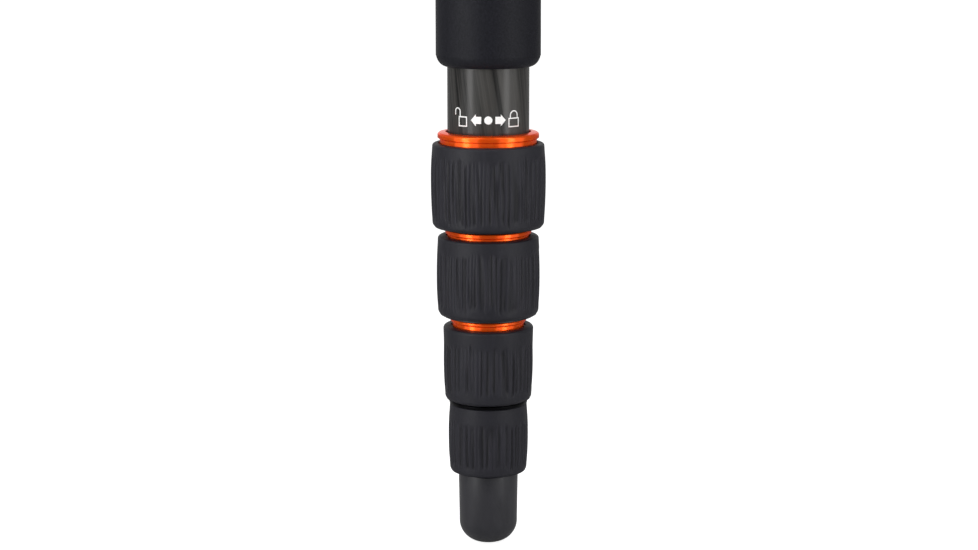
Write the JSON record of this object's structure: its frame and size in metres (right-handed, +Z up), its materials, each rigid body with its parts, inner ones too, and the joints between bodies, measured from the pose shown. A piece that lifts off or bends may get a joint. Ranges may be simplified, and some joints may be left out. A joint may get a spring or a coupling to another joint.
{
  "type": "camera monopod",
  "caption": "Telescopic carbon monopod leg with twist locks, orange rings, foam grip, head platform with stud and a rubber foot.",
  "frame": {"origin": "middle of the rubber foot's lowest point", "axes": "+Z up the leg to the camera stud, -Y the front that bears the printed lock marks, +X to the right seen from the front"},
  "size_m": [0.044, 0.044, 0.4416],
  "materials": {
    "carbon_tube": "glossy wound carbon fibre",
    "foam": "matte closed-cell foam",
    "grip_rubber": "matte moulded rubber",
    "foot_rubber": "satin moulded rubber",
    "orange_anodised": "satin orange anodised",
    "black_anodised": "satin black anodised",
    "collet_plastic": "matte acetal",
    "guide_plastic": "matte nylon",
    "seal_felt": "dense felt",
    "pad_rubber": "matte rubber",
    "steel": "turned steel",
    "black_steel": "black oxide steel"
  },
  "bodies": {
    "section_5": {"tube_5": "carbon_tube", "guides_5": "guide_plastic", "foot_plug": "black_anodised", "foot_stud": "steel", "rubber_foot": "foot_rubber"},
    "section_4": {"tube_4": "carbon_tube", "guides_4": "guide_plastic", "lock_fitting_4": "black_anodised"},
    "section_3": {"tube_3": "carbon_tube", "guides_3": "guide_plastic", "lock_fitting_3": "orange_anodised"},
    "section_2": {"tube_2": "carbon_tube", "guides_2": "guide_plastic", "lock_fitting_2": "orange_anodised"},
    "section_1": {"tube_1": "carbon_tube", "lock_fitting_1": "orange_anodised", "foam_grip": "foam", "top_collar": "black_anodised", "head_plug": "black_anodised", "head_platform": "black_anodised", "platform_pad": "pad_rubber", "platform_screws": "black_steel", "head_set_screws": "black_steel", "stud_lock_screw": "black_steel", "camera_stud": "steel"},
    "collet_4": {"lock_collet_4": "collet_plastic"},
    "lock_4": {"lock_nut_4": "black_anodised", "lock_grip_4": "grip_rubber", "lock_seal_4": "seal_felt"},
    "collet_3": {"lock_collet_3": "collet_plastic"},
    "lock_3": {"lock_nut_3": "black_anodised", "lock_grip_3": "grip_rubber", "lock_seal_3": "seal_felt"},
    "collet_2": {"lock_collet_2": "collet_plastic"},
    "lock_2": {"lock_nut_2": "black_anodised", "lock_grip_2": "grip_rubber", "lock_seal_2": "seal_felt"},
    "collet_1": {"lock_collet_1": "collet_plastic"},
    "lock_1": {"lock_nut_1": "black_anodised", "lock_grip_1": "grip_rubber", "lock_seal_1": "seal_felt"}
  },
  "joints": [
    {"name": "section_4_slide", "type": "slide", "parent": "section_5", "child": "section_4", "axis": [0, 0, 1], "range_m": [0, 0.2898]},
    {"name": "section_3_slide", "type": "slide", "parent": "section_4", "child": "section_3", "axis": [0, 0, 1], "range_m": [0, 0.2719]},
    {"name": "section_2_slide", "type": "slide", "parent": "section_3", "child": "section_2", "axis": [0, 0, 1], "range_m": [0, 0.2504]},
    {"name": "section_1_slide", "type": "slide", "parent": "section_2", "child": "section_1", "axis": [0, 0, 1], "range_m": [0, 0.2274]},
    {"name": "lock_4_advance", "type": "slide", "parent": "section_4", "child": "collet_4", "axis": [0, 0, 1], "range_m": [-0.00041687, 0]},
    {"name": "lock_4_turn", "type": "hinge", "parent": "collet_4", "child": "lock_4", "pos_m": [0, 0, 0], "axis": [0, 0, 1], "range_deg": [-100, 0]},
    {"name": "lock_3_advance", "type": "slide", "parent": "section_3", "child": "collet_3", "axis": [0, 0, 1], "range_m": [-0.00041687, 0]},
    {"name": "lock_3_turn", "type": "hinge", "parent": "collet_3", "child": "lock_3", "pos_m": [0, 0, 0], "axis": [0, 0, 1], "range_deg": [-100, 0]},
    {"name": "lock_2_advance", "type": "slide", "parent": "section_2", "child": "collet_2", "axis": [0, 0, 1], "range_m": [-0.00041687, 0]},
    {"name": "lock_2_turn", "type": "hinge", "parent": "collet_2", "child": "lock_2", "pos_m": [0, 0, 0], "axis": [0, 0, 1], "range_deg": [-100, 0]},
    {"name": "lock_1_advance", "type": "slide", "parent": "section_1", "child": "collet_1", "axis": [0, 0, 1], "range_m": [-0.00041687, 0]},
    {"name": "lock_1_turn", "type": "hinge", "parent": "collet_1", "child": "lock_1", "pos_m": [0, 0, 0], "axis": [0, 0, 1], "range_deg": [-100, 0]}
  ],
  "couplings": [
    {"joint": "lock_4_advance", "follows": "lock_4_turn", "m_per_rad": 0.00023873},
    {"joint": "lock_3_advance", "follows": "lock_3_turn", "m_per_rad": 0.00023873},
    {"joint": "lock_2_advance", "follows": "lock_2_turn", "m_per_rad": 0.00023873},
    {"joint": "lock_1_advance", "follows": "lock_1_turn", "m_per_rad": 0.00023873}
  ]
}
